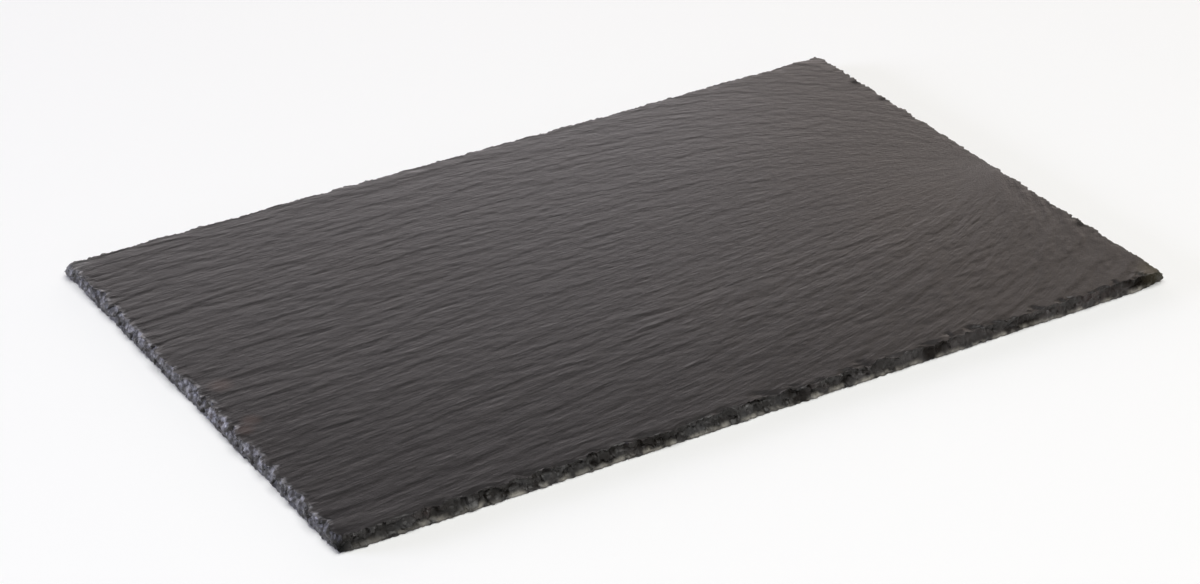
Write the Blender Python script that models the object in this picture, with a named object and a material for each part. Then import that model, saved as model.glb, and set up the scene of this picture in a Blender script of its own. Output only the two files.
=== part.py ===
"""A riven slate slab.

One flat stone, split along its cleavage and dressed by hand along its four edges. It lies on its
underside. The origin is the centre of its footprint, +X runs along the long side and +Z is up.
"""

import math
import random

import bmesh
import bpy
from mathutils import Vector, noise

# Driving dimensions, in metres.
LENGTH = 0.300  # long side, along X, at the foot of the edges
WIDTH = 0.200  # short side, along Y, at the foot of the edges
THICKNESS = 0.005  # underside to the middle of the cleft face
STATION = 0.003  # spacing of the points along each edge

# The dressed edge: each blow of the tool takes off a shell-shaped chip, deepest at the cleft face.
# The sides come in the order front, right, back, left.
CHIP_WIDTH = (0.0040, 0.0110)
CHIP_DEPTH = ((0.0014, 0.0034), (0.0004, 0.0013), (0.0003, 0.0016), (0.0012, 0.0032))  # each side
CHIP_FADE = (0.75, 0.0, 0.0, 0.0)  # how much of their depth the chips lose along each side
CHIP_START = 0.5  # share of their depth that chips have where a side starts
CORNER_SHY = 0.060  # per this length along a side, the share grows by one, until it is whole
CHIP_FOOT = (0.0, 0.0014)  # height above the underside where a chip starts
CHIP_STEP = (0.50, 0.85)  # distance to the next chip, in chip widths
CHIP_PROFILE = (0.55, 0.8, 0.8, 1.5)  # below 1 a chip has a ledge at its foot and a steep wall above
CHIP_SEED = 11
DEEP_CHIPS = (  # the few that stand out, as (middle, half width, depth, foot height)
    (),
    ((0.0401, 0.0022, 0.0010, 0.0), (0.1548, 0.0020, 0.0010, 0.0), (0.1718, 0.0026, 0.0012, 0.0),
     (0.1996, 0.0026, 0.0015, 0.0)),
    ((0.0056, 0.0028, 0.0016, 0.0), (0.0941, 0.0030, 0.0019, 0.0), (0.1665, 0.0030, 0.0017, 0.0)),
    (),
)
LEAST_INSET = (0.0003, 0.0003, 0.0003, 0.0009)  # what the rim loses between two chips
LEAST_AT_FOOT = 0.3  # share of it that the foot loses
BEVEL = (  # how far the rim lies further in before any chip, at the start and the end of a side
    (0.0001, 0.0001), (0.0019, 0.0017), (0.0025, 0.0017), (-0.0003, -0.0003),
)
OVERHANG = 0.25  # share of its inset that the edge gives back just under the rim
OVERHANG_FROM = 0.72  # share of the thickness where that starts
MEAN_INSET = 0.0014  # how far the rim is shortened along each side, which keeps the net straight
ROW_HEIGHTS = (0.0, 0.0009, 0.0023, 0.0038, THICKNESS)  # from the foot to the rim

# The foot of the edges wanders a little either way.
FOOT_WANDER = 0.00020
FOOT_WAVE = 0.016

# What each corner loses along X and along Y: at the foot, half way up and at the rim. Where a number
# is negative the corner stands out. The order is front left, front right, back right, back left.
CORNER_LOSS = (
    ((0.0009, 0.0009), (0.0, 0.0), (0.0004, 0.0004)),
    ((0.0002, 0.0014), (-0.0028, 0.0004), (0.0, 0.0)),
    ((0.0005, 0.0005), (0.0, 0.0), (0.0004, -0.0005)),
    ((-0.0005, 0.0001), (-0.0023, -0.0009), (0.0009, -0.0005)),
)
CORNER_REACH = 0.009

# The cleft face: low ridges that fan out from the middle of one short side and then run lengthwise.
FAN_CENTRE = Vector((0.1499, -0.0081))
FAN_STRAIGHTEN = 11.9  # per metre: how soon the ridges turn parallel to the long side
RIDGE_HEIGHT = 0.00020
RIDGE_SPACING = 0.012
RIDGE_LENGTH = 0.060
RIM_DROP = 0.00035  # the thin flakes lost along the rim
RIM_WAVE = 0.006
NET_STEP = 2  # the net over the cleft face starts at every second edge point
ON_FACE = 0.999  # points above this share of the thickness belong to the cleft face

SLATE_COLOUR = (0.078, 0.073, 0.070, 1.0)
SLATE_ROUGHNESS = 0.62


def clear_scene():
    for old in list(bpy.data.objects):
        bpy.data.objects.remove(old, do_unlink=True)


def slate_material():
    material = bpy.data.materials.new("slate")
    material.use_nodes = True
    shader = material.node_tree.nodes["Principled BSDF"]
    shader.inputs["Base Color"].default_value = SLATE_COLOUR
    shader.inputs["Roughness"].default_value = SLATE_ROUGHNESS
    shader.inputs["Metallic"].default_value = 0.0
    return material


def smooth_step(value):
    """0 below 0, 1 above 1, and an S-shaped rise in between."""
    value = min(max(value, 0.0), 1.0)
    return value * value * (3 - 2 * value)


def chips_along(length, depths, fade, dice):
    """The chips of one side, as (middle, half width, depth, foot height)."""
    chips = []
    start = -CHIP_WIDTH[0]
    while start < length:
        width = dice.uniform(*CHIP_WIDTH)
        along = max(start, 0.0)
        share = min(1.0, CHIP_START + along / CORNER_SHY) * (1.0 - fade * along / length)
        depth = dice.uniform(*depths) * share
        foot = dice.uniform(*CHIP_FOOT)
        chips.append((start + width / 2, width / 2, depth, foot))
        start += width * dice.uniform(*CHIP_STEP)
    return chips


def chip_inset(side, chips, share_along, along, height):
    """How far one side is cut back, at a place along it and a height above the underside."""
    level = height / THICKNESS
    inset = LEAST_INSET[side] * (LEAST_AT_FOOT + (1.0 - LEAST_AT_FOOT) * level)
    for middle, half, depth, foot in chips:
        across = (along - middle) / half
        if abs(across) < 1.0 and height > foot:
            rise = (height - foot) / (THICKNESS - foot)
            inset = max(inset, depth * math.sqrt(1.0 - across**2) * rise**CHIP_PROFILE[side])
    start, end = BEVEL[side]
    inset += (start + (end - start) * share_along) * level
    return inset * (1.0 - OVERHANG * smooth_step((level - OVERHANG_FROM) / (1.0 - OVERHANG_FROM)))


def foot_wander(x, y):
    """How far the foot of the edge wanders inside or outside the nominal side."""
    return FOOT_WANDER * noise.noise(Vector((x, y, 0.0)) / FOOT_WAVE)


def corner_loss(corner, height):
    """What one corner loses along X and along Y at one height."""
    level = height / THICKNESS
    weights = ((1.0 - level) ** 2, 2.0 * level * (1.0 - level), level**2)
    return sum((Vector(loss) * weight for loss, weight in zip(CORNER_LOSS[corner], weights)), Vector((0, 0)))


def side_ends():
    """The corner where each side starts, the way it runs and the way into the stone."""
    half_x, half_y = LENGTH / 2, WIDTH / 2
    corners = [Vector((half_x * x, half_y * y)) for x, y in ((-1, -1), (1, -1), (1, 1), (-1, 1))]
    runs = [corners[(side + 1) % 4] - corners[side] for side in range(4)]
    inward = [Vector(way) for way in ((0, 1), (-1, 0), (0, -1), (1, 0))]
    return list(zip(corners, runs, inward))


def side_inset(side, sides, chips, along, height):
    """How far one side lies inside its nominal line, with the share that its two corners add."""
    start, run, inward = sides[side]
    place = start + run * (along / run.length)
    inset = chip_inset(side, chips[side], along / run.length, along, height)
    inset += foot_wander(place.x, place.y)
    for corner, distance in ((side, along), ((side + 1) % 4, run.length - along)):
        if 0.0 < distance < CORNER_REACH:
            loss_x, loss_y = corner_loss(corner, height)
            loss = loss_x if inward.x else loss_y
            inset += loss * (1.0 - smooth_step(distance / CORNER_REACH))
    return inset


def corner_point(side, sides, chips, height):
    """The point of the edge at the corner where one side starts."""
    start, _, inward = sides[side]
    _, run_before, inward_before = sides[side - 1]
    place = start + inward * side_inset(side, sides, chips, 0.0, height)
    place += inward_before * side_inset((side - 1) % 4, sides, chips, run_before.length, height)
    loss = corner_loss(side, height)
    turn = inward + inward_before
    return Vector((place.x + turn.x * loss.x, place.y + turn.y * loss.y, height))


def station_point(side, sides, chips, share, height):
    """A point of the edge between two corners."""
    start, run, inward = sides[side]
    place = start + run * share
    inset = side_inset(side, sides, chips, share * run.length, height)
    shorter = 1.0 - MEAN_INSET * height / THICKNESS / (run.length / 2)
    if inward.x:
        return Vector((place.x + inward.x * inset, place.y * shorter, height))
    return Vector((place.x * shorter, place.y + inward.y * inset, height))


def edge_row(sides, chips, height):
    """The points round the slab at one height, anticlockwise from the front left corner."""
    points = []
    for side, (_, run, _) in enumerate(sides):
        points.append(corner_point(side, sides, chips, height))
        count = round(run.length / STATION)
        points.extend(station_point(side, sides, chips, step / count, height) for step in range(1, count))
    return points


def build_edge(mesh):
    """The chipped edge as rows of faces, closed below by the flat underside and above by one face."""
    sides = side_ends()
    dice = random.Random(CHIP_SEED)
    chips = [chips_along(run.length, CHIP_DEPTH[side], CHIP_FADE[side], dice)
             for side, (_, run, _) in enumerate(sides)]
    chips = [shallow + list(deep) for shallow, deep in zip(chips, DEEP_CHIPS)]
    rows = [[mesh.verts.new(point) for point in edge_row(sides, chips, height)] for height in ROW_HEIGHTS]
    for lower, upper in zip(rows, rows[1:]):
        for i in range(len(lower)):
            mesh.faces.new((lower[i - 1], lower[i], upper[i], upper[i - 1]))
    mesh.faces.new(rows[0][::-1])
    mesh.faces.new(rows[-1])
    return rows[-1]


def cut_face(mesh, place, normal):
    """Cuts the cleft face along one upright plane."""
    faces = [f for f in mesh.faces if min(v.co.z for v in f.verts) >= THICKNESS * ON_FACE]
    edges = {edge for face in faces for edge in face.edges}
    verts = {vert for face in faces for vert in face.verts}
    geometry = faces + list(edges) + list(verts)
    bmesh.ops.bisect_plane(mesh, geom=geometry, dist=1e-5, plane_co=place, plane_no=normal)


def cut_net(mesh, rim):
    """Cuts the cleft face into a net whose lines start at points of the rim."""
    columns = round(LENGTH / STATION)
    rows = round(WIDTH / STATION)
    long_side = [vert.co.copy() for vert in rim[:columns]]
    short_side = [vert.co.copy() for vert in rim[columns:columns + rows]]
    for place in long_side[NET_STEP:-1:NET_STEP]:
        cut_face(mesh, place, (1, 0, 0))
    for place in short_side[NET_STEP:-1:NET_STEP]:
        cut_face(mesh, place, (0, 1, 0))


def ridge_height(x, y):
    """Height of the cleft face above or below its middle plane."""
    back, side = FAN_CENTRE.x - x, y - FAN_CENTRE.y
    across = (FAN_STRAIGHTEN * side + math.atan2(side, back)) / (FAN_STRAIGHTEN * RIDGE_SPACING)
    return RIDGE_HEIGHT * noise.noise(Vector((across, math.hypot(back, side) / RIDGE_LENGTH, 0.0)))


def rim_drop(x, y):
    """How much of the face has flaked away at a point of the rim."""
    return RIM_DROP * max(0.0, noise.noise(Vector((x, y, 0.0)) / RIM_WAVE))


def raise_ridges(mesh, rim):
    """Gives the cleft face its ridges, and its rim the small losses."""
    rim = set(rim)
    for vert in mesh.verts:
        if vert.co.z >= THICKNESS * ON_FACE:
            x, y = vert.co.xy
            vert.co.z += ridge_height(x, y) - (rim_drop(x, y) if vert in rim else 0.0)


def centre_footprint(mesh):
    """Moves the stone so that its origin is the centre of its footprint."""
    xs = [vert.co.x for vert in mesh.verts]
    ys = [vert.co.y for vert in mesh.verts]
    middle = Vector(((min(xs) + max(xs)) / 2, (min(ys) + max(ys)) / 2, 0.0))
    bmesh.ops.translate(mesh, verts=mesh.verts, vec=-middle)


def build_slab():
    mesh = bmesh.new()
    rim = build_edge(mesh)
    cut_net(mesh, rim)
    bmesh.ops.triangulate(mesh, faces=mesh.faces)
    raise_ridges(mesh, rim)
    centre_footprint(mesh)
    data = bpy.data.meshes.new("slate_slab")
    mesh.to_mesh(data)
    mesh.free()
    data.materials.append(slate_material())
    slab = bpy.data.objects.new("slate_slab", data)
    bpy.context.scene.collection.objects.link(slab)
    return slab


clear_scene()
build_slab()
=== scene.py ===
# %% [markdown]
# # A riven slate slab
#
# The real object is one thin stone. It was split from a block along its cleavage, so its upper face is
# rippled, and its four edges were dressed by hand, which leaves a bevel of small shell-shaped chips.
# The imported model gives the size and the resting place. This lesson models the same stone again with
# the fine relief and the finish that a camera sees.

# %% Load the frame
import math
import random

import bmesh
import bpy
import numpy as np
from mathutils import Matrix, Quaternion, Vector


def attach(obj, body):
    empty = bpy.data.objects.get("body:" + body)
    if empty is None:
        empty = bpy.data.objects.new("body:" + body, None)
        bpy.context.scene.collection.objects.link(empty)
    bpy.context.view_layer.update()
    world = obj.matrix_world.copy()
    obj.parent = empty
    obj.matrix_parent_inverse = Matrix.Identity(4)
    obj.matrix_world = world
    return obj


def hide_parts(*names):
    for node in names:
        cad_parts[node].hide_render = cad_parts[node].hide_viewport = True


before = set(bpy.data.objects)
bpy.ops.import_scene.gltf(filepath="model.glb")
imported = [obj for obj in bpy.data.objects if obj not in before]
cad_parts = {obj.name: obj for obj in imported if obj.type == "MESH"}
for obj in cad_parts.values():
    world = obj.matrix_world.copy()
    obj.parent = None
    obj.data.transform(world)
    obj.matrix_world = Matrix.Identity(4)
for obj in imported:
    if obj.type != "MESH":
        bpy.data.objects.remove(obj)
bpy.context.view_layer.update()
bpy.ops.object.select_all(action="DESELECT")

# %% [markdown]
# ## The sizes of the stone
#
# A few driving dimensions say everything else. They are the nominal sizes at the foot of the edges,
# in metres, because Blender's unit is the metre. Small lengths read better as a number of millimetres,
# so `MM` turns one into the other.

# %% Driving dimensions
MM = 0.001
LENGTH = 300 * MM
WIDTH = 200 * MM
THICKNESS = 5 * MM

# %% [markdown]
# ## The camera
#
# The slab is seen from the front left and from above, with a long lens, so its sides hardly converge.
# A camera could be aimed by typing in three angles. Naming the point it stands at and the point it
# looks at is easier to read, and a small roll is added last, because the view is a little tilted.

# %% Camera
CAMERA_AT = Vector((-0.4832, -0.8288, 0.5220))
LOOK_AT = Vector((-0.0097, -0.0100, 0.0025))
CAMERA_ROLL = math.radians(-1.307)
CAMERA_LENS = 99.85
SENSOR_WIDTH = 36.0

bpy.ops.object.camera_add(location=CAMERA_AT)
camera = bpy.context.object
camera.name = "camera"
aim = (LOOK_AT - CAMERA_AT).to_track_quat("-Z", "Y")
camera.rotation_euler = (aim @ Quaternion((0, 0, 1), CAMERA_ROLL)).to_euler()
camera.data.lens = CAMERA_LENS
camera.data.sensor_width = SENSOR_WIDTH
bpy.context.scene.camera = camera
print("camera distance:", round((LOOK_AT - CAMERA_AT).length, 3))

# %% [markdown]
# ## Soft noise for many points at once
#
# Stone needs smooth random bumps. Blender's own noise takes one point at a time, which is slow for a
# hundred thousand points, so this small gradient noise works on whole arrays. Each crossing of an
# unseen lattice gets a slope in a random direction, and the slopes are blended in between.

# %% Noise
TURNS = np.random.default_rng(5).permutation(256)
NOISE_GAIN = 1.5  # brings the largest values to about -1 and 1


def soft_noise(x, y, seed=0):
    """Smooth values between about -1 and 1 that change about once per unit."""
    column, row = np.floor(x).astype(int), np.floor(y).astype(int)
    dx, dy = x - column, y - row
    fade_x, fade_y = dx**3 * (dx * (dx * 6 - 15) + 10), dy**3 * (dy * (dy * 6 - 15) + 10)
    total = np.zeros_like(dx)
    for a, share_x in ((0, 1 - fade_x), (1, fade_x)):
        for b, share_y in ((0, 1 - fade_y), (1, fade_y)):
            pick = TURNS[(TURNS[(column + a + 37 * seed) % 256] + row + b + 91 * seed) % 256]
            angle = pick * (math.tau / 256)
            total += share_x * share_y * (np.cos(angle) * (dx - a) + np.sin(angle) * (dy - b))
    return NOISE_GAIN * total


def smooth_step(value):
    """0 below 0, 1 above 1, and an S-shaped rise in between."""
    value = np.clip(value, 0.0, 1.0)
    return value * value * (3 - 2 * value)


# %% [markdown]
# ## The grain of the cleft face
#
# When the block split, the crack started at the middle of one short side. Its fine ridges fan out from
# that point and then run along the slab, like the barbs of a feather. One complex function holds the
# whole pattern: with z measured back from the starting point, w = a z + log z has lines of equal
# imaginary part that spread as rays near the point and turn parallel far from it. Its slope dw/dz
# also gives the direction of the grain at any place.

# %% Grain
FAN_X = 149.9 * MM
FAN_Y = -8.1 * MM
GRAIN_TURN = math.radians(5)  # how far the parallel ridges lean from the long side
STRAIGHTEN = 11.9 * complex(math.cos(GRAIN_TURN), math.sin(GRAIN_TURN))  # per metre: large turns them early
GRAIN_SCALE = 15.2  # per metre: how fast w changes at the far end, which makes the map one to one there
COMB_STEPS = 12  # steps each way along the grain


def back_from_fan(x, y):
    """The place as a complex number, measured back from the starting point of the split."""
    z = (FAN_X - x) + 1j * (y - FAN_Y)
    return np.where(abs(z) < MM, MM, z)


def grain_place(x, y):
    """Distance along the grain and across it, in metres at the far end of the slab."""
    z = back_from_fan(x, y)
    w = (STRAIGHTEN * z + np.log(z)) / GRAIN_SCALE
    return w.real, w.imag


def grain_direction(x, y):
    """A unit step along the grain."""
    slope = STRAIGHTEN + 1 / back_from_fan(x, y)
    step = slope.conj() / abs(slope)
    return step.real, -step.imag


def combed(x, y, bump, reach, seed):
    """Noise of one bump size, drawn out along the grain as far as reach each way."""
    total = np.zeros_like(x)
    for way in (1, -1):
        at_x, at_y = x.copy(), y.copy()
        for step in range(COMB_STEPS):
            along_x, along_y = grain_direction(at_x, at_y)
            at_x += way * along_x * reach / COMB_STEPS
            at_y += way * along_y * reach / COMB_STEPS
            weight = math.cos(math.pi / 2 * (step + 0.5) / COMB_STEPS) ** 2
            total += weight * soft_noise(at_x / bump, at_y / bump, seed)
    return total / total.std()


# %% [markdown]
# ## The blank
#
# A real slab starts as a plain rectangle, and so does this one. Two grids are added: a fine one for
# the cleft face and a coarser one for the underside. The face needs small cells near the edges and at
# the end where the ridges fan out, and long cells elsewhere, because there the ridges run along the
# slab. Each grid's outer edges are then subdivided until both outlines have a point every 1/3 mm, so
# that Bridge Edge Loops can close the sides with even rows.

# %% Grids
STATION = MM / 3  # spacing of the points round the outline
FACE_COLUMNS = [1] * 6 + [2] * 6 + [7] * 60 + [5] * 42 + [3] * 82 + [1] * 6  # cell lengths, in stations
FACE_ROWS = [1] * 6 + [2] * 294 + [1] * 6
UNDER_COLUMNS = [15] * 60
UNDER_ROWS = [15] * 40
EDGE_ROWS = 11


def add_net(name, columns, rows, height):
    """A grid whose cells have the given numbers of stations along X and Y."""
    bpy.ops.mesh.primitive_grid_add(x_subdivisions=len(columns), y_subdivisions=len(rows), size=1.0)
    net = bpy.context.object
    net.name = name
    place = np.zeros(len(net.data.vertices) * 3)
    net.data.vertices.foreach_get("co", place)
    place = place.reshape(-1, 3)
    for axis, cells, span in ((0, columns, LENGTH), (1, rows, WIDTH)):
        index = np.rint((place[:, axis] + 0.5) * len(cells)).astype(int)
        lines = np.concatenate(([0], np.cumsum(cells))) * STATION
        place[:, axis] = lines[index] - span / 2
    place[:, 2] = height
    net.data.vertices.foreach_set("co", place.ravel())
    return net


def divide_outline(net, cells):
    """Cuts the outer edges of a grid into pieces one station long."""
    bpy.ops.object.mode_set(mode="EDIT")
    bpy.ops.mesh.select_mode(type="EDGE")
    for stations in sorted(set(cells) - {1}):
        shape = bmesh.from_edit_mesh(net.data)
        for edge in shape.edges:
            right_length = abs(edge.calc_length() - stations * STATION) < STATION / 4
            edge.select_set(edge.is_boundary and right_length)
        bmesh.update_edit_mesh(net.data)
        bpy.ops.mesh.subdivide(number_cuts=stations - 1)
        bpy.ops.mesh.select_all(action="DESELECT")
    bpy.ops.object.mode_set(mode="OBJECT")


face_net = add_net("riven_slate", FACE_COLUMNS, FACE_ROWS, THICKNESS)
divide_outline(face_net, FACE_COLUMNS + FACE_ROWS)
under_net = add_net("underside", UNDER_COLUMNS, UNDER_ROWS, 0.0)
divide_outline(under_net, UNDER_COLUMNS + UNDER_ROWS)
print("face net:", len(face_net.data.vertices), "points; underside:", len(under_net.data.vertices))

# %% [markdown]
# ## Closing the sides
#
# The two grids are joined into one object and the gap between their outlines is bridged. The cells
# along the outline now have many corners, and such a face would crease when its points move, so it is
# split into triangles first. Last, all faces are turned to point outward.

# %% Bridge
bpy.ops.object.select_all(action="DESELECT")
under_net.select_set(True)
face_net.select_set(True)
bpy.context.view_layer.objects.active = face_net
bpy.ops.object.join()
slate = bpy.context.object
bpy.ops.object.mode_set(mode="EDIT")
bpy.ops.mesh.select_mode(type="EDGE")
bpy.ops.mesh.select_all(action="DESELECT")
bpy.ops.mesh.select_non_manifold(extend=False, use_wire=False, use_multi_face=False,
                                 use_non_contiguous=False, use_verts=False)
bpy.ops.mesh.bridge_edge_loops(number_cuts=EDGE_ROWS - 1, interpolation="LINEAR")
bpy.ops.mesh.select_mode(type="FACE")
bpy.ops.mesh.select_face_by_sides(number=4, type="GREATER", extend=False)
bpy.ops.mesh.quads_convert_to_tris(quad_method="BEAUTY", ngon_method="BEAUTY")
bpy.ops.mesh.select_all(action="SELECT")
bpy.ops.mesh.normals_make_consistent(inside=False)
bpy.ops.object.mode_set(mode="OBJECT")
print("blank:", len(slate.data.vertices), "points,", len(slate.data.polygons), "faces")

# %% [markdown]
# ## The chips of the dressed edge
#
# The edge is dressed by short blows, and each blow takes off a shell-shaped chip. From above, every
# chip is a scallop of the rim. From the side, it is a hollow with a ledge at its foot and a steep wall
# above. The chips overlap, and the deeper one wins, which leaves the sharp horns between them. No two
# sides are alike: the front and the left are deeply chipped, and the back and the right have an even
# bevel with a few single chips in it. A Boolean for each chip would be slow and would leave untidy
# faces. Here a formula says how far the stone is cut back at each point, and the points are moved.

# %% Large chips
SIDES = ("front", "right", "back", "left")
SIDE_LENGTHS = (LENGTH, WIDTH, LENGTH, WIDTH)
CHIP_WIDTH = (4.0 * MM, 11 * MM)
CHIP_DEPTH = {"front": (1.4 * MM, 3.4 * MM), "right": (0.4 * MM, 1.3 * MM),
              "back": (0.3 * MM, 1.6 * MM), "left": (1.2 * MM, 3.2 * MM)}
CHIP_FADE = {"front": 0.75, "right": 0, "back": 0, "left": 0}  # share of the depth lost along the side
CHIP_START = 0.5  # share of their depth that chips have where a side starts
CORNER_SHY = 60 * MM  # per this length along a side the share grows by one, until it is whole
CHIP_FOOT = (0.0, 1.4 * MM)  # height at which a chip starts
CHIP_STEP = (0.50, 0.85)  # distance to the next chip, in chip widths
CHIP_PROFILE = {"front": 0.55, "right": 0.8, "back": 0.8, "left": 1.5}  # below 1: steep under the rim
CHIP_SEED = 11
LEAST_INSET = {"front": 0.3 * MM, "right": 0.3 * MM, "back": 0.3 * MM, "left": 0.9 * MM}
LEAST_AT_FOOT = 0.3  # share of that least inset which the foot has
BEVEL = {  # how far the rim lies inside the foot before any chip, at the start and the end of a side
    "front": (0.1 * MM, 0.1 * MM), "right": (1.9 * MM, 1.7 * MM),
    "back": (2.5 * MM, 1.7 * MM), "left": (-0.3 * MM, -0.3 * MM),
}
DEEP_CHIPS = {  # the few that stand out, as (middle, half width, depth, foot height)
    "front": (),
    "right": ((40.1 * MM, 2.2 * MM, 1.0 * MM, 0), (154.8 * MM, 2.0 * MM, 1.0 * MM, 0),
              (171.8 * MM, 2.6 * MM, 1.2 * MM, 0), (199.6 * MM, 2.6 * MM, 1.5 * MM, 0)),
    "back": ((5.6 * MM, 2.8 * MM, 1.6 * MM, 0), (94.1 * MM, 3.0 * MM, 1.9 * MM, 0),
             (166.5 * MM, 3.0 * MM, 1.7 * MM, 0)),
    "left": (),
}


def chips_along(length, depths, fade, dice):
    """The chips of one side, as (middle, half width, depth, foot height)."""
    chips = []
    start = -CHIP_WIDTH[0]
    while start < length:
        width = dice.uniform(*CHIP_WIDTH)
        along = max(start, 0.0)
        share = min(1.0, CHIP_START + along / CORNER_SHY) * (1 - fade * along / length)
        depth = dice.uniform(*depths) * share
        foot = dice.uniform(*CHIP_FOOT)
        chips.append((start + width / 2, width / 2, depth, foot))
        start += width * dice.uniform(*CHIP_STEP)
    return chips


def chip_inset(side, along, height):
    """How far the chips cut one side back."""
    inset = LEAST_INSET[side] * (LEAST_AT_FOOT + (1 - LEAST_AT_FOOT) * height / THICKNESS)
    for middle, half, depth, foot in large_chips[side]:
        lens = np.sqrt(np.clip(1 - ((along - middle) / half) ** 2, 0, 1))
        rise = np.clip((height - foot) / (THICKNESS - foot), 0, 1) ** CHIP_PROFILE[side]
        inset = np.maximum(inset, depth * lens * rise)
    start, end = BEVEL[side]
    share = along / SIDE_LENGTHS[SIDES.index(side)]
    return inset + (start + (end - start) * share) * height / THICKNESS


chip_dice = random.Random(CHIP_SEED)
large_chips = {side: chips_along(length, CHIP_DEPTH[side], CHIP_FADE[side], chip_dice)
               for side, length in zip(SIDES, SIDE_LENGTHS)}
for side in SIDES:
    large_chips[side].extend(DEEP_CHIPS[side])
print("large chips:", {side: len(chips) for side, chips in large_chips.items()})

# %% [markdown]
# ## Facets and sheets
#
# Inside each large chip the stone broke again, into small facets one to three millimetres across.
# Each is nearly flat, tilted its own way and set a little in or out, so some catch the light and some
# stay black. The side is divided like cracked mud: every point belongs to the nearest of many
# scattered middles, and follows the tilt of that facet. Because slate is made of sheets, the break
# also steps from sheet to sheet: each sheet ends a little further in or out than the one below it.

# %% Facets
FACETS = {  # width, height and depth of the large and the small facets
    "front": ((4.2 * MM, 3.2 * MM, 1.15 * MM), (1.6 * MM, 1.1 * MM, 0.30 * MM)),
    "right": ((2.6 * MM, 1.8 * MM, 0.50 * MM), (1.2 * MM, 1.0 * MM, 0.25 * MM)),
    "back": ((2.6 * MM, 1.8 * MM, 0.50 * MM), (1.2 * MM, 1.0 * MM, 0.25 * MM)),
    "left": ((4.4 * MM, 2.8 * MM, 1.10 * MM), (1.9 * MM, 1.4 * MM, 0.32 * MM)),
}
SHEET = 0.85 * MM  # thickness of one sheet
SHEET_BEND = 0.8  # how far a sheet wanders up and down, in sheets
SHEET_WAVE = 14 * MM
SHEET_SHIFT = 0.30 * MM
SHEET_RUN = 2.6 * MM
SHEET_ROW = 7.3  # a step through the noise that makes neighbouring sheets differ
FAR = 9.0  # more than the squared distance to any neighbouring middle, in facet sizes


def fixed_random(column, row, seed):
    """A value from 0 to 1 that is always the same for one cell of a lattice."""
    return TURNS[(TURNS[(column + 37 * seed) % 256] + row + 91 * seed) % 256] / 255


def facets(along, height, wide, tall, seed):
    """Flat pieces with their own level and tilt, from about -1 to 1."""
    u, v = along / wide, height / tall
    nearest, level = np.full_like(u, FAR), np.zeros_like(u)
    for step_u in (-1, 0, 1):
        for step_v in (-1, 0, 1):
            column, row = np.floor(u).astype(int) + step_u, np.floor(v).astype(int) + step_v
            middle_u, middle_v, base, tilt_u, tilt_v = (
                fixed_random(column, row, seed + k) for k in range(5))
            du, dv = u - column - middle_u, v - row - middle_v
            closer = du**2 + dv**2 < nearest
            nearest = np.where(closer, du**2 + dv**2, nearest)
            tilted = (base - 0.5) + (tilt_u - 0.5) * 2 * du + (tilt_v - 0.5) * 2 * dv
            level = np.where(closer, tilted, level)
    return level


def facet_inset(side, along, height, seed):
    """How much further in or out the facets of one side lie."""
    return sum(depth * facets(along, height, wide, tall, seed + 5 * k)
               for k, (wide, tall, depth) in enumerate(FACETS[side]))


def sheet_shift(along, height, seed):
    """How far each thin sheet of the stone ends inside or outside its neighbours."""
    sheet = np.floor(height / SHEET + SHEET_BEND * soft_noise(along / SHEET_WAVE, height * 0, seed))
    return SHEET_SHIFT * soft_noise(along / SHEET_RUN, sheet * SHEET_ROW + 0.5, seed)


sample = np.linspace(0, LENGTH, 1000)
sample = facet_inset("front", sample, np.full_like(sample, THICKNESS / 2), 0) / MM
print("facets of the front, half way up:", sample.min().round(2), "to", sample.max().round(2), "mm")

# %% [markdown]
# ## The points of the blank
#
# The points are read into arrays once, moved by formulas, and written back at the end. For each side,
# every point gets two distances: how far along the side it lies, and how deep inside it. The rows
# between foot and rim are shaken up and down, or their even spacing would show as stripes.

# %% Points and sides
ROW_SHAKE = 0.12 * MM
GRIT = 0.04 * MM
NEAR_A_FACE = 0.001  # points closer to a face than this share of the thickness belong to it

place = np.zeros(len(slate.data.vertices) * 3)
slate.data.vertices.foreach_get("co", place)
x, y, z = place.reshape(-1, 3).T.copy()
on_face = z > THICKNESS * (1 - NEAR_A_FACE)
between_rims = (z > THICKNESS * NEAR_A_FACE) & ~on_face
shaker = np.random.default_rng(CHIP_SEED)
z += np.where(between_rims, ROW_SHAKE * shaker.uniform(-1, 1, len(z)), 0)
grit = GRIT * shaker.normal(size=len(z))
side_places = {  # along the side, depth inside it, and the way inward
    "front": (x + LENGTH / 2, y + WIDTH / 2, 0, 1),
    "right": (y + WIDTH / 2, LENGTH / 2 - x, -1, 0),
    "back": (LENGTH / 2 - x, WIDTH / 2 - y, 0, -1),
    "left": (WIDTH / 2 - y, x + LENGTH / 2, 1, 0),
}
print("points on the sides:", int(between_rims.sum()))
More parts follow.
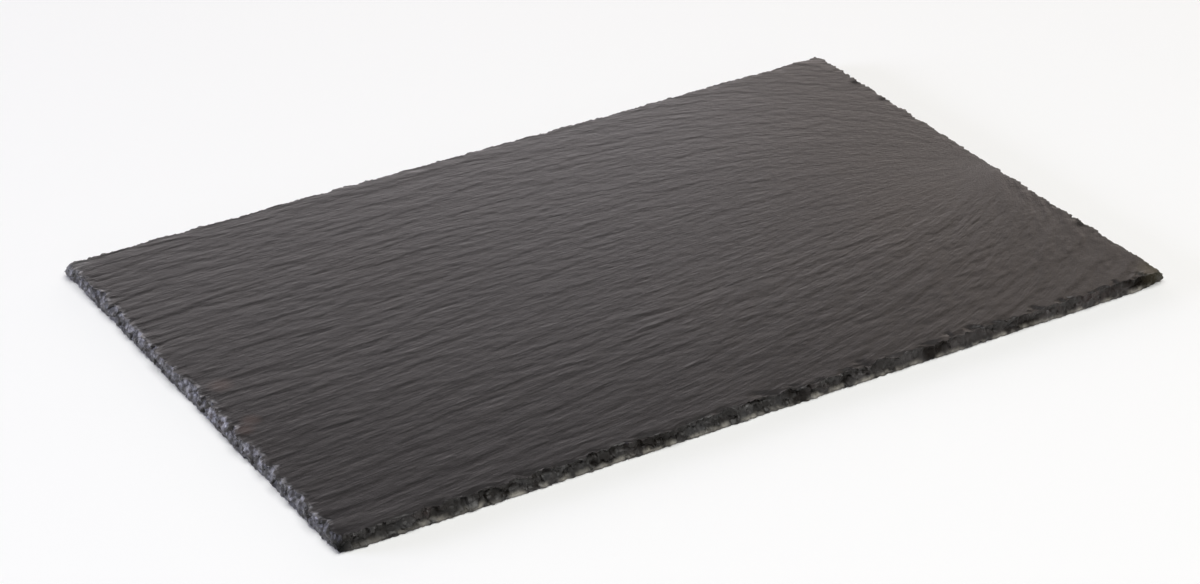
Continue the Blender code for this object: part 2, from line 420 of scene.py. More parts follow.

# %% [markdown]
# ## Dressing the blank
#
# Every point near a side moves inward by what the chips and facets took there. The rim moves by the
# whole amount, and points further in by less and less, so the net stays even and nothing folds. Just
# under the rim the stone gives a little back, which makes the rim overhang and keeps the line below it
# dark. At the foot the facets are shallow, and a slow wander and small nicks keep the line on the
# table from being straight. The right half of the front was dressed more evenly than the left half.
# How deep each point lies is kept for the finish, which paints shade into the hollows.

# %% Dress the edges
EDGE_REACH = 12 * MM
OVERHANG = 0.25  # share of its depth that a chip gives back just under the rim
OVERHANG_FROM = 0.72  # share of the thickness where that starts
ROUGH_AT_FOOT = 0.25  # share of their depth that the facets have at the foot
ROUGH_FROM = 1.2 * MM  # height above which they have all of it
QUIET_FROM, QUIET_TO = 165 * MM, 215 * MM  # between these places the front edge turns less rough
QUIET_LOSS = 0.45
FOOT_WANDER = 0.30 * MM
FOOT_WAVE = 16 * MM
FOOT_NICK = 0.36 * MM
FOOT_NICK_WIDTH = 1.6 * MM
MOST_OUTWARD = 0.35 * MM  # no side stands out further than this
HOLLOW_MIDDLE = 0.5  # how hollow a point counts where the facets take nothing
HOLLOW_DEPTH = 1 * MM  # depth of a facet that adds one to that

new_x, new_y = x.copy(), y.copy()
hollow = np.zeros_like(x)
for number, side in enumerate(SIDES):
    along, depth_in, toward_x, toward_y = side_places[side]
    near = depth_in < EDGE_REACH
    along_near, height = along[near], z[near]
    rough = facet_inset(side, along_near, height, 10 * number) + sheet_shift(along_near, height, number)
    rough += np.where(between_rims[near], grit[near], 0)
    if side == "front":
        rough *= 1 - QUIET_LOSS * smooth_step((along_near - QUIET_FROM) / (QUIET_TO - QUIET_FROM))
    inset = chip_inset(side, along_near, height)
    inset *= 1 - OVERHANG * smooth_step((height / THICKNESS - OVERHANG_FROM) / (1 - OVERHANG_FROM))
    inset += rough * (ROUGH_AT_FOOT + (1 - ROUGH_AT_FOOT) * smooth_step(height / ROUGH_FROM))
    inset += FOOT_WANDER * soft_noise(along_near / FOOT_WAVE, height * 0, number + 10)
    inset += FOOT_NICK * soft_noise(along_near / FOOT_NICK_WIDTH, height * 0, number + 20)
    inset = np.maximum(inset, -MOST_OUTWARD)
    fade = 1 - smooth_step(depth_in[near] / EDGE_REACH)
    new_x[near] += toward_x * inset * fade
    new_y[near] += toward_y * inset * fade
    at_edge = depth_in[near] < STATION / 2
    hollow[near] = np.where(at_edge, HOLLOW_MIDDLE + rough / HOLLOW_DEPTH, hollow[near])
print("deepest cut:", round(max(abs(new_x - x).max(), abs(new_y - y).max()) / MM, 2), "mm")

# %% [markdown]
# ## The four corners
#
# A corner is the first thing to break off, and here each broke differently: the right one was left as
# a nose, and the left one stands out half way up. So each corner gets three vectors, one for the foot,
# one for half way up and one for the rim, and the points in between follow a smooth curve through
# them. Moving a corner by hand with proportional editing would do the same, but not repeatably.

# %% Break the corners
CORNER_REACH = 9 * MM
CORNER_LOSS = {  # millimetres lost along X and along Y: at the foot, half way up and at the rim
    "front": ((0.9, 0.9), (0.0, 0.0), (0.4, 0.4)),
    "right": ((0.2, 1.4), (-2.8, 0.4), (0.0, 0.0)),
    "back": ((0.5, 0.5), (0.0, 0.0), (0.4, -0.5)),
    "left": ((-0.5, 0.1), (-2.3, -0.9), (0.9, -0.5)),
}
CORNER_TURN = {"front": (1, 1), "right": (-1, 1), "back": (-1, -1), "left": (1, -1)}  # the way inward
CORNER_DROP = {"front": 0.2 * MM, "right": 0.5 * MM, "back": 0.2 * MM, "left": 0.0}

drop = np.zeros_like(x)
share = z / THICKNESS
weights = ((1 - share) ** 2, 2 * share * (1 - share), share**2)
for side in SIDES:  # each side starts at the corner of the same name
    along, depth_in = side_places[side][:2]
    in_corner = 1 - smooth_step(np.hypot(along, depth_in) / CORNER_REACH)
    drop += CORNER_DROP[side] * in_corner
    turn_x, turn_y = CORNER_TURN[side]
    for weight, (loss_x, loss_y) in zip(weights, CORNER_LOSS[side]):
        new_x += turn_x * loss_x * MM * weight * in_corner
        new_y += turn_y * loss_y * MM * weight * in_corner
print("outline:", (np.ptp(new_x) / MM).round(1), "x", (np.ptp(new_y) / MM).round(1), "mm")

# %% [markdown]
# ## The relief of the cleft face
#
# Four kinds of relief lie on top of each other. The slowest is the swell of the whole face. On it lie
# the ripples, which follow the grain; each leans toward the front like a wave on a beach, with a long
# back and a short steep front, and that is why the stone shows thin dark lines and not soft stripes.
# Close to the place where the split began there are fine straight rays as well. Last come the ends of
# broken sheets, long shallow saw teeth that fade in and out. All of it grows away from that place, and
# it is strongest on its front side, where the split ran unevenly.

# %% Ripples and sheet ends
SWELL_HEIGHT = 0.10 * MM
SWELL_SIZE = (95 * MM, 70 * MM)
RIPPLES = (  # bump size, reach along the grain, height
    (7.0 * MM, 16 * MM, 0.0100 * MM),
    (3.9 * MM, 7.5 * MM, 0.0112 * MM),
    (2.7 * MM, 4.6 * MM, 0.0074 * MM),
    (1.9 * MM, 3.0 * MM, 0.0045 * MM),
)
LEAN = 28  # how far the ripples lean, as a multiple of their height
MOST_RIPPLE = 0.034 * MM  # no ripple rises or falls further than this before it grows
RAYS = (1.7 * MM, 9 * MM, 0.0120 * MM)  # bump size, reach and height of the rays
RAYS_END = 120 * MM  # distance from the fan at which they have faded out
SHEET_END_HEIGHT = 0.021 * MM
SHEET_END_SPACING = 7.5 * MM
SHEET_END_BENDS = ((0.70, 9 * MM, 26 * MM), (0.16, 4 * MM, 7 * MM))  # share of the spacing, bump, reach
SHEET_END_PATCH = (12 * MM, 14 * MM)  # bump and reach of the patches where they show
SHEET_END_SHOWN = (0.35, 0.9)
RISER_SHARE = 0.16
RELIEF_GAIN = 1.75
GROWTH = (0.36, 3.1)  # at the fan, and further per metre away from it
GROWTH_TO_FRONT = 1.8  # per metre
FRONT_GAIN = 1.9  # how much stronger all relief is on the front side of the fan
FRONT_GAIN_FROM = 40 * MM  # how far in front of the fan that holds in full
FRONT_GAIN_END = 220 * MM


def ripples(x, y):
    """Height of the ripples before they lean."""
    return sum(height * combed(x, y, bump, reach, 30 + seed)
               for seed, (bump, reach, height) in enumerate(RIPPLES))


def saw_teeth(value):
    """Rises slowly through each unit and drops back in a short riser at its middle."""
    part = value - np.floor(value)
    return part - smooth_step((part - 0.5) / RISER_SHARE + 0.5)


def sheet_ends(x, y):
    """The low steps where sheets of the stone broke off."""
    order = -grain_place(x, y)[1] / SHEET_END_SPACING
    for seed, (share, bump, reach) in enumerate(SHEET_END_BENDS):
        order += share * combed(x, y, bump, reach, 40 + seed)
    base, gain = SHEET_END_SHOWN
    shown = smooth_step(base + gain * combed(x, y, *SHEET_END_PATCH, 42))
    return SHEET_END_HEIGHT * saw_teeth(order) * shown


def cleft_relief(x, y):
    """Height of the cleft face above its middle plane."""
    swell = SWELL_HEIGHT * soft_noise(x / SWELL_SIZE[0], y / SWELL_SIZE[1], 3)
    waves = MOST_RIPPLE * np.tanh(ripples(x, y + LEAN * ripples(x, y)) / MOST_RIPPLE)
    from_fan = np.hypot(FAN_X - x, FAN_Y - y)
    bump, reach, height = RAYS
    waves += height * (1 - smooth_step(from_fan / RAYS_END)) * combed(x, y, bump, reach, 45)
    growth = (GROWTH[0] + GROWTH[1] * from_fan) * (1 - GROWTH_TO_FRONT * y)
    front_side = smooth_step((FAN_Y - y) / FRONT_GAIN_FROM) * (1 - smooth_step(from_fan / FRONT_GAIN_END))
    return swell + RELIEF_GAIN * growth * (1 + FRONT_GAIN * front_side) * (waves + sheet_ends(x, y))


relief = cleft_relief(new_x, new_y)
print("relief:", round(relief.min() / MM, 3), "to", round(relief.max() / MM, 3), "mm")

# %% [markdown]
# ## The worn rim and the underside
#
# Along the rim the uppermost sheets have partly flaked away, a few tenths of a millimetre deep and
# some millimetres wide. This shows on the front edge, and much less on the other three. The underside
# was split too. It touches the table on its high spots, so its relief only goes up into the stone.

# %% Rim losses and underside
RIM_LOSS = {"front": 0.30 * MM, "right": 0.06 * MM, "back": 0.06 * MM, "left": 0.08 * MM}
RIM_LOSS_REACH = 4.5 * MM
RIM_LOSS_SIZES = ((1.0, 6 * MM, 12 * MM), (0.5, 2.2 * MM, 5 * MM))  # strength, along and across the rim
RIM_LOSS_SHARE = 0.12  # more of the rim flakes away when this is larger
SCAR_EDGE = 0.12  # a scar drops to its full depth while the noise rises by this
UNDER_RELIEF = 0.22 * MM
UNDER_SIZE = (22 * MM, 15 * MM)
UNDER_RIM = 6 * MM  # the underside is flat along its outline and has its relief from here on

rim_distance = np.minimum.reduce([side_places[side][1] for side in SIDES])
nearest_side = np.argmin([side_places[side][1] for side in SIDES], axis=0)
along_rim = np.choose(nearest_side, [side_places[side][0] for side in SIDES])
loose = np.zeros_like(x)
for seed, (strength, wide, deep) in enumerate(RIM_LOSS_SIZES):  # a metre apart, the noise is another one
    loose += strength * soft_noise((along_rim + nearest_side) / wide, rim_distance / deep, 50 + seed)
scar = smooth_step((loose + RIM_LOSS_SHARE - rim_distance / RIM_LOSS_REACH) / SCAR_EDGE)
top_height = THICKNESS + relief - drop - scar * np.choose(nearest_side, [RIM_LOSS[side] for side in SIDES])
under_height = UNDER_RELIEF * np.abs(soft_noise(new_x / UNDER_SIZE[0], new_y / UNDER_SIZE[1], 60))
under_height *= smooth_step(rim_distance / UNDER_RIM)
level = z / THICKNESS
new_z = np.where(level > 0, level * top_height, under_height)

place = np.column_stack((new_x, new_y, new_z))
slate.data.vertices.foreach_set("co", place.ravel())
slate.data.update()
print("stone:", (place.max(0) - place.min(0)).round(4))

# %% [markdown]
# ## What the finish needs to know
#
# The colour and the polish change over the stone, and the mesh carries the facts itself. One attribute
# says how far a point belongs to the chipped edge. Another says how deep it lies in a chip, and the finish
# paints shade into the deep places. A third marks the foot of the front edge, which is painted pale:
# partly dust from the table, partly a painted highlight where the foot catches the light. The last marks
# the left edge, whose facets are painted nearly white, most of all along its upper half: partly bruises,
# partly painted highlights where they catch the light of the window. Painting these by hand would work
# too, but the formulas keep them in step with the shape. A UV map says where each point lies along and
# across the grain.

# %% Attributes and grain map
RIM_SHARE = 0.6  # how far the line of the rim itself belongs to the edge
PALE_FOOT_FROM, PALE_FOOT_FADE = 0.3 * MM, 1.6 * MM  # the pale foot thins out from this height, over this distance
PALE_LEFT_AT_FOOT = 0.45
PALE_LEFT_FROM, PALE_LEFT_RISE = 1.5 * MM, 2.0 * MM  # the bruises and painted highlights grow from this height, over this distance
PALE_LEFT_CORNER = 14 * MM  # they thin out over this distance toward the front corner
PALE_LEFT_IN_FROM, PALE_LEFT_IN_FADE = 0.3 * MM, 1.5 * MM  # and inward from the rim, on the face
SMOOTH_ANGLE = math.radians(26)  # edges sharper than this keep their crease

on_front, on_left = nearest_side == 0, nearest_side == 3
edge_share = np.where(between_rims, 1.0, np.where(rim_distance < STATION / 2, RIM_SHARE, 0.0))
# dust and painted highlight: the foot of the front edge is marked to be painted pale
foot = np.where(on_face, 0, on_front * (1 - smooth_step((z - PALE_FOOT_FROM) / PALE_FOOT_FADE)))
# bruises and painted highlight: the left edge is marked to be painted pale, most of all up high
pale_left_share = PALE_LEFT_AT_FOOT + (1 - PALE_LEFT_AT_FOOT) * smooth_step((z - PALE_LEFT_FROM) / PALE_LEFT_RISE)
pale_left_share *= smooth_step((WIDTH - along_rim) / PALE_LEFT_CORNER)
pale_left_share *= on_left * (1 - smooth_step((rim_distance - PALE_LEFT_IN_FROM) / PALE_LEFT_IN_FADE))
facts = {"chipped": edge_share, "hollow": np.clip(hollow, 0, 1), "foot": foot, "pale_left_share": pale_left_share}
for name, values in facts.items():
    attribute = slate.data.attributes.new(name, "FLOAT", "POINT")
    attribute.data.foreach_set("value", values.astype(np.float32))
corners = np.zeros(len(slate.data.loops), dtype=int)
slate.data.loops.foreach_get("vertex_index", corners)
along_grain, across_grain = grain_place(place[:, 0], place[:, 1])
while slate.data.uv_layers:
    slate.data.uv_layers.remove(slate.data.uv_layers[0])
grain_map = slate.data.uv_layers.new(name="grain")
grain_map.data.foreach_set("uv", np.column_stack((along_grain, across_grain))[corners].ravel())
bpy.ops.object.shade_smooth_by_angle(angle=SMOOTH_ANGLE)
triangles = sum(len(face.vertices) - 2 for face in slate.data.polygons)
print("triangles:", triangles)

# %% [markdown]
# ## Helpers for the node trees
#
# A finish with many layers needs many nodes. In the shader editor they would be dragged and wired by
# hand. A few short helpers do the same here, and each line below then reads like a sentence.

# %% Node helpers
slate_finish = bpy.data.materials.new("riven_slate")
slate_finish.use_nodes = True
tree = slate_finish.node_tree  # the tree that the helpers add to
shader = tree.nodes["Principled BSDF"]


def node(kind, inputs=(), **settings):
    """Adds a node. An input is a number, a colour or another node's output."""
    made = tree.nodes.new(kind)
    for name, value in settings.items():
        setattr(made, name, value)
    for key, value in dict(inputs).items():
        if isinstance(value, bpy.types.NodeSocket):
            tree.links.new(value, made.inputs[key])
        else:
            made.inputs[key].default_value = value
    return made


def stretched(vector, scale):
    """The same coordinates, scaled differently on each axis."""
    return node("ShaderNodeMapping", {"Vector": vector, "Scale": scale}).outputs["Vector"]


def noise_value(vector, scale, detail, roughness):
    """The grey value of a noise texture with so many bumps per unit."""
    inputs = {"Vector": vector, "Scale": scale, "Detail": detail, "Roughness": roughness}
    return node("ShaderNodeTexNoise", inputs).outputs["Fac"]


def between(value, low, high, to_low, to_high):
    """Maps a value from one range to another."""
    inputs = {"Value": value, "From Min": low, "From Max": high, "To Min": to_low, "To Max": to_high}
    return node("ShaderNodeMapRange", inputs).outputs["Result"]


def product(first, second):
    """Multiplies two values."""
    return node("ShaderNodeMath", {0: first, 1: second}, operation="MULTIPLY").outputs[0]


def blend_colour(share, first, second):
    """Mixes two colours, which are inputs 6 and 7 and output 2 of the Mix node."""
    return node("ShaderNodeMix", {0: share, 6: first, 7: second}, data_type="RGBA").outputs[2]


def attribute_value(name):
    """What the mesh says about a point under this name."""
    return node("ShaderNodeAttribute", attribute_name=name).outputs["Fac"]


print("tree:", len(tree.nodes), "nodes to start with")

# %% [markdown]
# ## The colour of the cleft face
#
# Slate is a very dark grey with a trace of brown. Its streaks come from noise read on the grain map,
# stretched along the grain: long ones that are a little lighter, and fine ones that are darker. Broad
# brownish patches lie across them, from noise on Object coordinates, which belongs to the solid stone
# and so has no seams.

# %% Face colour
DARK_SLATE = (0.0160, 0.0145, 0.0150, 1)
LIGHT_SLATE = (0.0240, 0.0215, 0.0215, 1)
BROWN_SLATE = (0.030, 0.024, 0.021, 1)
STREAK_SLATE = (0.015, 0.014, 0.014, 1)
LONG_STRETCH, FINE_STRETCH = (30, 260, 1), (90, 1100, 1)  # streaks per metre along and across the grain
LONG_NOISE, FINE_NOISE = (1.0, 4.0, 0.6), (1.0, 3.0, 0.6)  # scale, detail and roughness of a noise
PATCH_NOISE = (14.0, 3.0, 0.5)  # the scale is in bumps per metre here
STREAK_RANGE, PATCH_RANGE = (0.3, 0.7), (0.55, 0.75)  # noise values from no streak or patch to a whole one
PATCH_SHARE, STREAK_SHARE = 0.35, 0.35

grain_uv = node("ShaderNodeUVMap", uv_map="grain").outputs["UV"]
stone = node("ShaderNodeTexCoord").outputs["Object"]
long_streaks = noise_value(stretched(grain_uv, LONG_STRETCH), *LONG_NOISE)
fine_streaks = noise_value(stretched(grain_uv, FINE_STRETCH), *FINE_NOISE)
patches = noise_value(stone, *PATCH_NOISE)
face_colour = blend_colour(between(long_streaks, *STREAK_RANGE, 0, 1), DARK_SLATE, LIGHT_SLATE)
face_colour = blend_colour(between(patches, *PATCH_RANGE, 0, PATCH_SHARE), face_colour, BROWN_SLATE)
streaky = between(fine_streaks, *STREAK_RANGE, 0, STREAK_SHARE)
face_colour = blend_colour(streaky, face_colour, STREAK_SLATE)
print("nodes for the face colour:", len(tree.nodes))

# %% [markdown]
# ## The colour of the edge
#
# The chipped edge is broken stone, and no two facets have the same grey. Fine crumbs, rusty patches and
# blots of painted black shade are mixed from noise of several sizes, the right half is browner, and painted
# shade darkens the hollows. Then comes what the attributes marked: a pale foot in front, partly dust and
# partly a painted highlight, which is thin near the left corner, and on the left pale bruises that are
# partly painted highlights. Each layer has a range of noise values over which it appears, and the largest
# share it takes of the colour.

# %% Edge colour
CRUMB_DARK, CRUMB_LIGHT = (0.021, 0.020, 0.020, 1), (0.054, 0.051, 0.050, 1)
RUSTY_EDGE = (0.044, 0.030, 0.027, 1)
WARM_EDGE = (0.038, 0.026, 0.023, 1)
WARM_FROM, WARM_TO = -10 * MM, 110 * MM  # the edge turns browner between these places along X
# painted shade: dark blots that stand in for the shade under the chipped rim
PAINTED_SHADE = (0.0100, 0.0076, 0.0060, 1)
# painted shade for the hollows of the chips
HOLLOW_SHADE = (0.0085, 0.0065, 0.0050, 1)
# dust mixed with a painted highlight: the pale foot of the front edge, where it catches the light
DUST_AND_HIGHLIGHT = (0.33, 0.31, 0.27, 1)
PALE_FOOT_THIN, PALE_FOOT_THICK = -142 * MM, -108 * MM  # between these places along X the pale foot grows thicker
PALE_FOOT_AT_CORNER = 0.33  # share of its full amount that it has at the first of them
# bruises mixed with a painted highlight: the pale facets of the left edge, which catch the cool window
BRUISE_AND_HIGHLIGHT = (0.27, 0.265, 0.285, 1)
CRUMB_NOISE, CRUMB_RANGE = (340.0, 3.0, 0.6), (0.40, 0.64)  # bumps per metre, detail and roughness
RUST_NOISE, RUST_RANGE, RUST_SHARE = (45.0, 2.0, 0.5), (0.50, 0.62), 0.6
WARM_SHARE = 0.6
SHADE_NOISE, SHADE_RANGE, SHADE_SHARE = (170.0, 2.0, 0.5), (0.46, 0.60), 0.75
WIDE_NOISE, WIDE_RANGE, WIDE_SHARE = (80.0, 1.0, 0.5), (0.50, 0.60), 0.9  # the wide painted shade
HOLLOW_RANGE, HOLLOW_SHARE = (0.40, 1.0), 0.9
PALE_FOOT_RANGE, PALE_FOOT_SHARE = (0.56, 0.40), 0.9  # the pale foot lies where the painted shade is not, so its range runs down
PALE_LEFT_NOISE, PALE_LEFT_RANGE, PALE_LEFT_SHARES = (380.0, 3.0, 0.6), (0.48, 0.66), (0.05, 0.9)

crumbs = noise_value(stone, *CRUMB_NOISE)
rust = noise_value(stone, *RUST_NOISE)
painted_shade_noise = noise_value(stone, *SHADE_NOISE)
wide_painted_shade_noise = noise_value(stone, *WIDE_NOISE)
place_x = node("ShaderNodeSeparateXYZ", {0: stone}).outputs["X"]
pale_left_grain = noise_value(stone, *PALE_LEFT_NOISE)
# painted shade: the deeper a point lies in a chip, the darker it is painted
hollow_shade = between(attribute_value("hollow"), *HOLLOW_RANGE, 0, HOLLOW_SHARE)
edge_colour = blend_colour(between(crumbs, *CRUMB_RANGE, 0, 1), CRUMB_DARK, CRUMB_LIGHT)
edge_colour = blend_colour(between(rust, *RUST_RANGE, 0, RUST_SHARE), edge_colour, RUSTY_EDGE)
edge_colour = blend_colour(between(place_x, WARM_FROM, WARM_TO, 0, WARM_SHARE), edge_colour, WARM_EDGE)
# painted shade, in small and in wide blots
edge_colour = blend_colour(between(painted_shade_noise, *SHADE_RANGE, 0, SHADE_SHARE), edge_colour, PAINTED_SHADE)
edge_colour = blend_colour(between(wide_painted_shade_noise, *WIDE_RANGE, 0, WIDE_SHARE), edge_colour, PAINTED_SHADE)
edge_colour = blend_colour(hollow_shade, edge_colour, HOLLOW_SHADE)
# dust and painted highlight at the foot of the front edge
dust_and_highlight = product(attribute_value("foot"), between(painted_shade_noise, *PALE_FOOT_RANGE, 0, PALE_FOOT_SHARE))
dust_and_highlight = product(dust_and_highlight, between(place_x, PALE_FOOT_THIN, PALE_FOOT_THICK, PALE_FOOT_AT_CORNER, 1))
edge_colour = blend_colour(dust_and_highlight, edge_colour, DUST_AND_HIGHLIGHT)
chipped = attribute_value("chipped")
colour = blend_colour(chipped, face_colour, edge_colour)
# bruises and painted highlights on the left edge
bruises_and_highlights = product(attribute_value("pale_left_share"), between(pale_left_grain, *PALE_LEFT_RANGE, *PALE_LEFT_SHARES))
colour = blend_colour(bruises_and_highlights, colour, BRUISE_AND_HIGHLIGHT)
print("nodes for face and edge colour:", len(tree.nodes))

# %% [markdown]
# ## Stains and shine
#
# A few single stains near the rim are placed by their distance from a point. The black ones are painted
# shade: the shade in small holes of the right rim and at the foot of the front corner, so they lose their
# shine as well. So does the wide painted shade of the edge, and more so toward the right: a dark patch
# that still mirrors the room would look grey.

# %% Stains and shine
RUSTY = (0.065, 0.042, 0.036, 1)
OLIVE = (0.075, 0.066, 0.040, 1)
PALE = (0.085, 0.085, 0.085, 1)
# painted shade: the black of small holes in the right rim and at the foot of the front corner
PAINTED_SHADE_BLACK = (0.006, 0.006, 0.006, 1)
STAINS = (  # place and reach in millimetres, strength and colour
    ((-141, -2, 5), 5, 0.55, RUSTY), ((-142, -26, 5), 4, 0.55, RUSTY), ((-146, -30, 5), 4, 0.55, RUSTY),
    ((149, -98, 5), 9, 0.55, OLIVE), ((-148, 98, 5), 8, 0.55, PALE), ((-149.5, -99.5, 1), 5, 0.9, PAINTED_SHADE_BLACK),
    ((146.8, 72, 5), 3.2, 1.0, PAINTED_SHADE_BLACK), ((147.0, 55, 5), 2.4, 0.9, PAINTED_SHADE_BLACK), ((146.8, -60, 5), 3.2, 1.0, PAINTED_SHADE_BLACK),
)
STAIN_MIDDLE = 0.3  # share of its reach over which a stain has its full strength
SHINE = 0.5  # the usual strength of the reflection
SHINE_LEFT = 0.1  # share of it left where a black painted shade or the wide painted shade is wholly dark
DULL_FROM, DULL_TO = -142 * MM, 110 * MM  # between these places along X the wide painted shade turns dull

dull = product(between(wide_painted_shade_noise, *WIDE_RANGE, 0, 1), between(place_x, DULL_FROM, DULL_TO, 0, 1))
shine = between(product(chipped, dull), 0, 1, SHINE, SHINE * SHINE_LEFT)
for at, reach, strength, stain in STAINS:
    gap = node("ShaderNodeVectorMath", {0: stone, 1: Vector(at) * MM}, operation="DISTANCE").outputs["Value"]
    share = between(gap, STAIN_MIDDLE * reach * MM, reach * MM, strength, 0)
    colour = blend_colour(share, colour, stain)
    # painted shade loses its shine too
    if stain is PAINTED_SHADE_BLACK:
        shine = product(shine, between(share, 0, 1, 1, SHINE_LEFT))
tree.links.new(colour, shader.inputs["Base Color"])
tree.links.new(shine, shader.inputs["Specular IOR Level"])
print("nodes for all colours:", len(tree.nodes))

# %% [markdown]
# ## Polish and fine bumps
#
# The face is dull but not dead: seen at a low angle it shines softly. The edge is rougher, and only
# its lighter crumbs glint. Three bumps finer than the net lie on top of each other: hair lines along
# the grain, dimples a few millimetres long, and pits the size of a sand grain. They are too small and
# too many to be real geometry, and their job is only to break up the light.

# %% Roughness and bumps
FACE_ROUGHNESS = (0.30, 0.34)  # from the dark to the light streaks
EDGE_ROUGHNESS, GLINT_RANGE = (0.60, 0.36), (0.40, 0.60)  # from the dark to the light crumbs
HAIR_DEPTH, HAIR_STRENGTH = 0.10 * MM, 0.8
DIMPLE_DEPTH, DIMPLE_STRENGTH = 0.09 * MM, 1.0
DIMPLE_STRETCH, DIMPLE_NOISE = (210, 400, 1), (1.0, 2.0, 0.5)
PIT_DEPTH, PIT_STRENGTH = 0.05 * MM, 0.7
PIT_NOISE = (1400.0, 2.0, 0.6)

face_rough = between(long_streaks, *STREAK_RANGE, *FACE_ROUGHNESS)
edge_rough = between(crumbs, *GLINT_RANGE, *EDGE_ROUGHNESS)
rough = node("ShaderNodeMix", {0: chipped, 2: face_rough, 3: edge_rough}, data_type="FLOAT").outputs[0]
tree.links.new(rough, shader.inputs["Roughness"])

dimples = noise_value(stretched(grain_uv, DIMPLE_STRETCH), *DIMPLE_NOISE)
pits = noise_value(stone, *PIT_NOISE)
hair_bump = node("ShaderNodeBump", {"Height": fine_streaks, "Distance": HAIR_DEPTH,
                                    "Strength": HAIR_STRENGTH})
dimple_bump = node("ShaderNodeBump", {"Height": dimples, "Distance": DIMPLE_DEPTH,
                                      "Strength": DIMPLE_STRENGTH, "Normal": hair_bump.outputs["Normal"]})
pit_bump = node("ShaderNodeBump", {"Height": pits, "Distance": PIT_DEPTH,
                                   "Strength": PIT_STRENGTH, "Normal": dimple_bump.outputs["Normal"]})
tree.links.new(pit_bump.outputs["Normal"], shader.inputs["Normal"])
slate.data.materials.clear()
slate.data.materials.append(slate_finish)
print("nodes in the slate finish:", len(tree.nodes))

# %% [markdown]
# ## The table
#
# The stone lies on plain white paper, which is one large plane a hair below it, so that the two never
# share the same height.

# %% Table
TABLE_SIZE = 12.0
TABLE_GAP = 0.2 * MM
PAPER_WHITE = (0.95, 0.95, 0.95, 1)
PAPER_ROUGHNESS = 0.9

bpy.ops.mesh.primitive_plane_add(size=TABLE_SIZE, location=(0, 0, -TABLE_GAP))
floor = bpy.context.object
floor.name = "table"
paper = bpy.data.materials.new("white_table")
paper.use_nodes = True
paper_inputs = paper.node_tree.nodes["Principled BSDF"].inputs
paper_inputs["Base Color"].default_value = PAPER_WHITE
paper_inputs["Roughness"].default_value = PAPER_ROUGHNESS
floor.data.materials.append(paper)
print("table:", TABLE_SIZE, "m across")

# %% [markdown]
# ## The lamps
#
# A very large soft box hangs overhead, nearer to the viewer than to the stone, and lights the table
# evenly. The cleft face is seen at a low angle and mirrors what stands behind it: a low backdrop in
# three parts, warmer toward the right, and a dim one above it. Every ripple shows in that sheen. A low
# cool window at the left wakes the facets of the left edge. Nothing bright stands in front, so the
# front edge is dark. `beyond` places a lamp behind the stone, as seen along the camera's line.

# %% Lamps
AWAY = (0.5, 0.866)  # the camera's line on the table, away from the viewer
BACKDROP_AT = 1.2  # how far behind the stone
BACKDROP_HEIGHT = 0.25  # of its middle


def soft_box(name, at, toward, size, radiance, colour):
    """A rectangular lamp at one point that shines toward another. Its power follows from its size."""
    bpy.ops.object.light_add(type="AREA", location=at)
    lamp = bpy.context.object
    lamp.name = name
    lamp.rotation_euler = (Vector(toward) - Vector(at)).to_track_quat("-Z", "Y").to_euler()
    lamp.data.shape = "RECTANGLE"
    lamp.data.size, lamp.data.size_y = size
    lamp.data.energy = radiance * math.pi * size[0] * size[1]
    lamp.data.color = colour
    return lamp


def beyond(distance, sideways, height):
    """The point at a distance behind the stone and to its right, as the camera sees it."""
    away_x, away_y = AWAY
    return (distance * away_x + sideways * away_y, distance * away_y - sideways * away_x, height)


def backdrop(name, sideways, width, radiance, colour):
    """One upright part of the backdrop."""
    at, toward = (beyond(distance, sideways, BACKDROP_HEIGHT) for distance in (BACKDROP_AT, 0))
    return soft_box(name, at, toward, (width, 2 * BACKDROP_HEIGHT), radiance, colour)


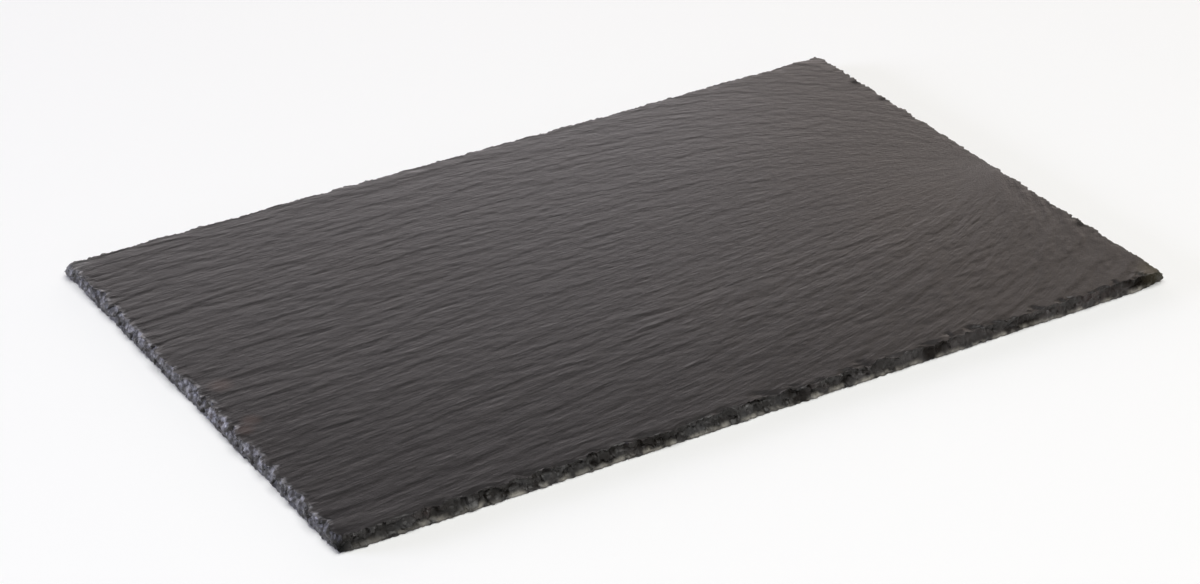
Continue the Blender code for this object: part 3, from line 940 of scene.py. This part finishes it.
soft_box("overhead", at=(0.05, -0.60, 1.8), toward=(0.05, -0.60, 0), size=(2.2, 2.2),
         radiance=2.90, colour=(1.0, 1.0, 0.98))
backdrop("backdrop", sideways=-0.70, width=1.60, radiance=2.3, colour=(1.0, 0.93, 0.95))
backdrop("backdrop_middle", sideways=0.35, width=0.50, radiance=1.65, colour=(1.0, 0.88, 0.83))
backdrop("backdrop_right", sideways=1.05, width=0.90, radiance=1.75, colour=(1.0, 0.82, 0.70))
soft_box("backdrop_high", at=beyond(BACKDROP_AT, sideways=0.60, height=0.80), toward=(0, 0, 0),
         size=(0.70, 0.35), radiance=0.45, colour=(1.0, 0.80, 0.62))
soft_box("window_left", at=(-1.40, 0.66, 0.27), toward=(0, 0, 0), size=(0.7, 0.35),
         radiance=18.0, colour=(0.76, 0.78, 1.0))

# %% [markdown]
# ## The room
#
# A studio isn't black. The dim room in front of the stone hardly matters to this camera, but from
# behind it is what the face mirrors, and without it the ripples would vanish. A single world colour
# would fill in all shadows. Here the light is brightest at the horizon in front, and it fades out
# toward the sides and upward.

# %% World
ROOM_DARK, ROOM_BRIGHT = 0.02, 0.62
ROOM_LOW, ROOM_HIGH = 0.05, 0.5  # between these heights of a unit sky the room fades out
ROOM_SIDE = (0, -1, 0)  # the way to its bright wall, in front
ROOM_COLOUR = (1.0, 1.0, 1.0, 1)

world = bpy.data.worlds.new("studio")
bpy.context.scene.world = world
world.use_nodes = True
tree = world.node_tree  # the helpers add to this tree from here on
direction = node("ShaderNodeTexCoord").outputs["Generated"]
height = node("ShaderNodeSeparateXYZ", {0: direction}).outputs["Z"]
to_front = node("ShaderNodeVectorMath", {0: direction, 1: ROOM_SIDE}, operation="DOT_PRODUCT")
room = product(between(to_front.outputs["Value"], 0, 1, 0, 1), between(height, ROOM_LOW, ROOM_HIGH, 1, 0))
background = tree.nodes["Background"]
background.inputs["Color"].default_value = ROOM_COLOUR
tree.links.new(between(room, 0, 1, ROOM_DARK, ROOM_BRIGHT), background.inputs["Strength"])
bpy.context.scene.view_settings.view_transform = "Standard"
print("room light:", ROOM_DARK, "to", ROOM_BRIGHT)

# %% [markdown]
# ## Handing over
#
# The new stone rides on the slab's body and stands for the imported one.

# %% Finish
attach(slate, "root")
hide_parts("slate_slab")
